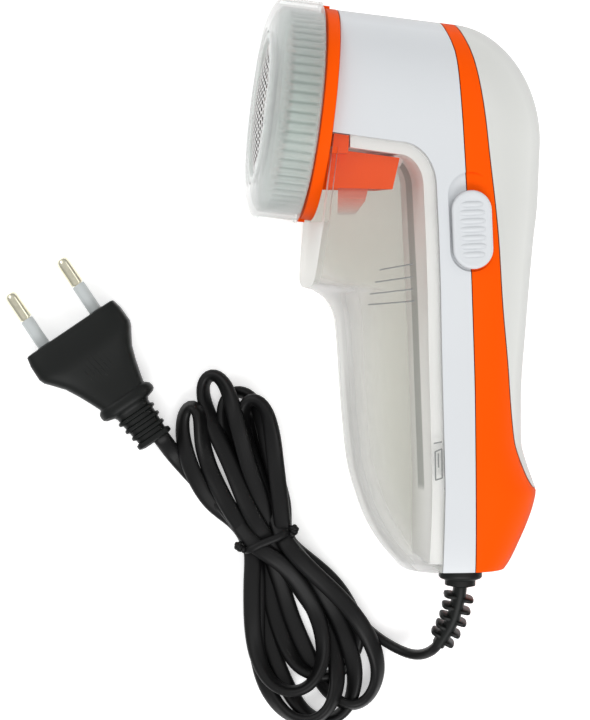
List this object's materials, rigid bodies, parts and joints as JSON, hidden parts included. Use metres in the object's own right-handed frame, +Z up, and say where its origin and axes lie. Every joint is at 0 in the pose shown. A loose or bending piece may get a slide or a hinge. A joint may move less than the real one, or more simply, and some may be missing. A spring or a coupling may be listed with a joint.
{
  "type": "fabric shaver",
  "caption": "Corded fabric shaver lying on its side, with a clear guard, lint box, slide switch and a tied flat lead ending in a two-pin plug.",
  "frame": {"origin": "centre of the shaver's footprint on the surface that it lies on, without its lead", "axes": "+Z up; +Y from the shaver's tail to its head; the net faces -X"},
  "size_m": [0.1586, 0.2163, 0.0653],
  "materials": {
    "white_casing": "glossy injection-moulded white",
    "orange_casing": "glossy injection-moulded orange",
    "frosted_clear": "lightly frosted clear plastic",
    "clear_ring": "clear plastic with moulded ribs",
    "net_steel": "thin perforated stainless steel",
    "bright_steel": "plated steel",
    "pin_brass": "nickelled brass",
    "winding_copper": "enamelled copper",
    "black_plastic": "matt black moulding",
    "grey_nylon": "grey nylon",
    "black_pvc": "flexible black sheath",
    "plug_pvc": "moulded black, slightly satin",
    "sleeve_grey": "light grey insulating sleeve",
    "board_laminate": "brown laminate",
    "film_case": "red dipped film"
  },
  "bodies": {
    "casing": {"front_shell": "white_casing", "rear_shell": "orange_casing", "back_cover": "white_casing", "head_collar": "orange_casing", "lint_chute": "orange_casing", "chamber_floor": "orange_casing", "motor_screw_1": "bright_steel", "motor_screw_2": "bright_steel", "motor_can": "bright_steel", "motor_magnet_1": "black_plastic", "motor_magnet_2": "black_plastic", "front_bushing": "pin_brass", "motor_end_cap": "grey_nylon", "rear_bushing": "pin_brass", "slide_switch": "black_plastic", "circuit_board": "board_laminate", "film_capacitor": "film_case", "smoothing_capacitor": "black_plastic", "bridge_rectifier": "black_plastic", "dropper_resistor": "board_laminate", "cord_clamp": "grey_nylon", "live_wire": "film_case", "neutral_wire": "film_case", "switch_wire": "film_case", "motor_wire_1": "film_case", "motor_wire_2": "film_case", "casing_screw_1": "bright_steel", "casing_screw_2": "bright_steel", "casing_screw_3": "bright_steel", "casing_screw_4": "bright_steel", "strain_relief": "plug_pvc", "cord_lead": "black_pvc", "cord_hank": "black_pvc", "cord_tail": "black_pvc", "cord_tie": "black_pvc", "plug_body": "plug_pvc", "plug_pin_1": "pin_brass", "plug_pin_2": "pin_brass", "pin_sleeve_1": "sleeve_grey", "pin_sleeve_2": "sleeve_grey"},
    "net_head": {"net_ring": "clear_ring", "shaving_net": "net_steel", "net_clamp": "black_plastic"},
    "guard": {"distance_guard": "clear_ring"},
    "lint_bin": {"lint_box": "frosted_clear"},
    "switch": {"switch_button": "white_casing", "switch_slider": "black_plastic"},
    "cutter": {"cutter_hub": "grey_nylon", "cutter_blade_1": "net_steel", "cutter_blade_2": "net_steel", "cutter_blade_3": "net_steel", "shaft_collar": "black_plastic", "motor_shaft": "bright_steel", "cutter_spring": "bright_steel", "armature_core": "bright_steel", "winding_front": "winding_copper", "winding_rear": "winding_copper", "commutator": "pin_brass"}
  },
  "joints": [
    {"name": "switch_slide", "type": "slide", "parent": "casing", "child": "switch", "axis": [-0.0434, 0.9981, 0.043], "range_m": [0, 0.0044]},
    {"name": "lint_box_slide", "type": "slide", "parent": "casing", "child": "lint_bin", "axis": [-0.1169, -0.9928, -0.0261], "range_m": [0, 0.018]},
    {"name": "net_twist", "type": "hinge", "parent": "casing", "child": "net_head", "pos_m": [-0.02017, 0.05064, 0.03158], "axis": [-0.9877, 0.1135, 0.1072], "range_deg": [0, 30]},
    {"name": "guard_pull", "type": "slide", "parent": "net_head", "child": "guard", "axis": [-0.9877, 0.1135, 0.1072], "range_m": [0, 0.016]},
    {"name": "cutter_spin", "type": "hinge", "parent": "casing", "child": "cutter", "pos_m": [-0.02017, 0.05064, 0.03158], "axis": [-0.9877, 0.1135, 0.1072], "continuous": true}
  ]
}
